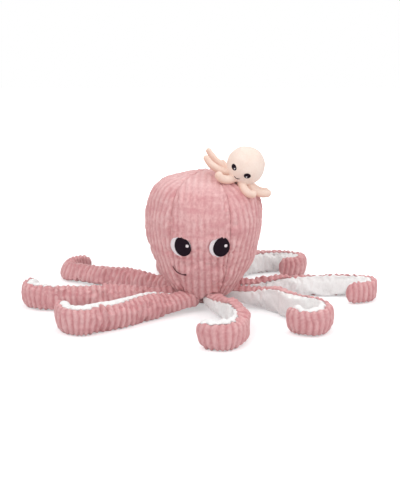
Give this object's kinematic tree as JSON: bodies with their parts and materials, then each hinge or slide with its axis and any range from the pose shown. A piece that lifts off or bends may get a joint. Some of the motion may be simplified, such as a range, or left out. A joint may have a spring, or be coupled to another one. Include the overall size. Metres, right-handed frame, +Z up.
{
  "type": "plush octopus",
  "caption": "Ribbed plush octopus lying with its tentacles spread on a surface, a small smooth baby octopus seated on its head.",
  "frame": {"origin": "centre of the base panel's underside, on the surface the toy lies on", "axes": "+Z up, the face looks along -Y, +X to the right as seen facing it"},
  "size_m": [0.5389, 0.4188, 0.243],
  "materials": {
    "pink_ribbed": "wide-ribbed soft plush, matt with a low sheen",
    "white_lining": "smooth white short-pile plush",
    "cream_baby": "smooth cream short-pile plush",
    "eye_white": "white satin-stitched patch",
    "eye_black": "dark satin-stitched patch",
    "thread": "dark embroidery thread",
    "fibre_fill": "loose polyester fibre",
    "patch_tape": "woven hook and loop tape"
  },
  "bodies": {
    "octopus_head": {"head_gore_front": "pink_ribbed", "head_gore_front_right": "pink_ribbed", "head_gore_back_right": "pink_ribbed", "head_gore_back": "pink_ribbed", "head_gore_back_left": "pink_ribbed", "head_gore_front_left": "pink_ribbed", "head_filling": "fibre_fill", "base_panel": "pink_ribbed", "eye_left_patch": "eye_white", "eye_left_pupil": "eye_black", "eye_left_glint": "eye_white", "eye_right_patch": "eye_white", "eye_right_pupil": "eye_black", "eye_right_glint": "eye_white", "mouth_thread": "thread", "loop_patch": "patch_tape"},
    "tentacle_front_left": {"tentacle_front_left_cover": "pink_ribbed", "tentacle_front_left_lining": "white_lining", "tentacle_front_left_filling": "fibre_fill"},
    "tentacle_mid_left": {"tentacle_mid_left_cover": "pink_ribbed", "tentacle_mid_left_lining": "white_lining", "tentacle_mid_left_filling": "fibre_fill"},
    "tentacle_back_left": {"tentacle_back_left_cover": "pink_ribbed", "tentacle_back_left_lining": "white_lining", "tentacle_back_left_filling": "fibre_fill"},
    "tentacle_back": {"tentacle_back_cover": "pink_ribbed", "tentacle_back_lining": "white_lining", "tentacle_back_filling": "fibre_fill"},
    "tentacle_back_right": {"tentacle_back_right_cover": "pink_ribbed", "tentacle_back_right_lining": "white_lining", "tentacle_back_right_filling": "fibre_fill"},
    "tentacle_mid_right": {"tentacle_mid_right_cover": "pink_ribbed", "tentacle_mid_right_lining": "white_lining", "tentacle_mid_right_filling": "fibre_fill"},
    "tentacle_front_right": {"tentacle_front_right_cover": "pink_ribbed", "tentacle_front_right_lining": "white_lining", "tentacle_front_right_filling": "fibre_fill"},
    "tentacle_front": {"tentacle_front_cover": "pink_ribbed", "tentacle_front_lining": "white_lining", "tentacle_front_filling": "fibre_fill"},
    "baby": {"hook_patch": "patch_tape", "baby_head": "cream_baby", "baby_filling": "fibre_fill", "baby_limb_1": "cream_baby", "baby_limb_2": "cream_baby", "baby_limb_3": "cream_baby", "baby_limb_4": "cream_baby", "baby_limb_5": "cream_baby", "baby_limb_6": "cream_baby", "baby_limb_7": "cream_baby", "baby_limb_8": "cream_baby", "baby_eye_left": "eye_black", "baby_eye_right": "eye_black", "baby_mouth_thread": "thread"}
  },
  "joints": [
    {"name": "tentacle_front_left_swing", "type": "hinge", "parent": "octopus_head", "child": "tentacle_front_left", "pos_m": [-0.01998, -0.0392, 0.0191], "axis": [-0.3843, 0.9232, 0], "range_deg": [-55, 22]},
    {"name": "tentacle_mid_left_swing", "type": "hinge", "parent": "octopus_head", "child": "tentacle_mid_left", "pos_m": [-0.04065, -0.01684, 0.0191], "axis": [-0.1444, 0.9895, 0], "range_deg": [-55, 22]},
    {"name": "tentacle_back_left_swing", "type": "hinge", "parent": "octopus_head", "child": "tentacle_back_left", "pos_m": [-0.04065, 0.01684, 0.0191], "axis": [0.527, 0.8499, 0], "range_deg": [-55, 22]},
    {"name": "tentacle_back_swing", "type": "hinge", "parent": "octopus_head", "child": "tentacle_back", "pos_m": [-0.01684, 0.04065, 0.0191], "axis": [0.9135, 0.4067, 0], "range_deg": [-55, 22]},
    {"name": "tentacle_back_right_swing", "type": "hinge", "parent": "octopus_head", "child": "tentacle_back_right", "pos_m": [0.01684, 0.04065, 0.0191], "axis": [0.9397, -0.342, 0], "range_deg": [-55, 22]},
    {"name": "tentacle_mid_right_swing", "type": "hinge", "parent": "octopus_head", "child": "tentacle_mid_right", "pos_m": [0.04065, 0.01684, 0.0191], "axis": [0.1736, -0.9848, 0], "range_deg": [-55, 22]},
    {"name": "tentacle_front_right_swing", "type": "hinge", "parent": "octopus_head", "child": "tentacle_front_right", "pos_m": [0.04065, -0.01684, 0.0191], "axis": [-0.2419, -0.9703, 0], "range_deg": [-55, 22]},
    {"name": "tentacle_front_swing", "type": "hinge", "parent": "octopus_head", "child": "tentacle_front", "pos_m": [0.0099, -0.04287, 0.0191], "axis": [-0.8957, -0.4446, 0], "range_deg": [-55, 22]},
    {"name": "baby_lift_off", "type": "slide", "parent": "octopus_head", "child": "baby", "axis": [0.3837, -0.1871, 0.9043], "range_m": [0, 0.06]}
  ]
}
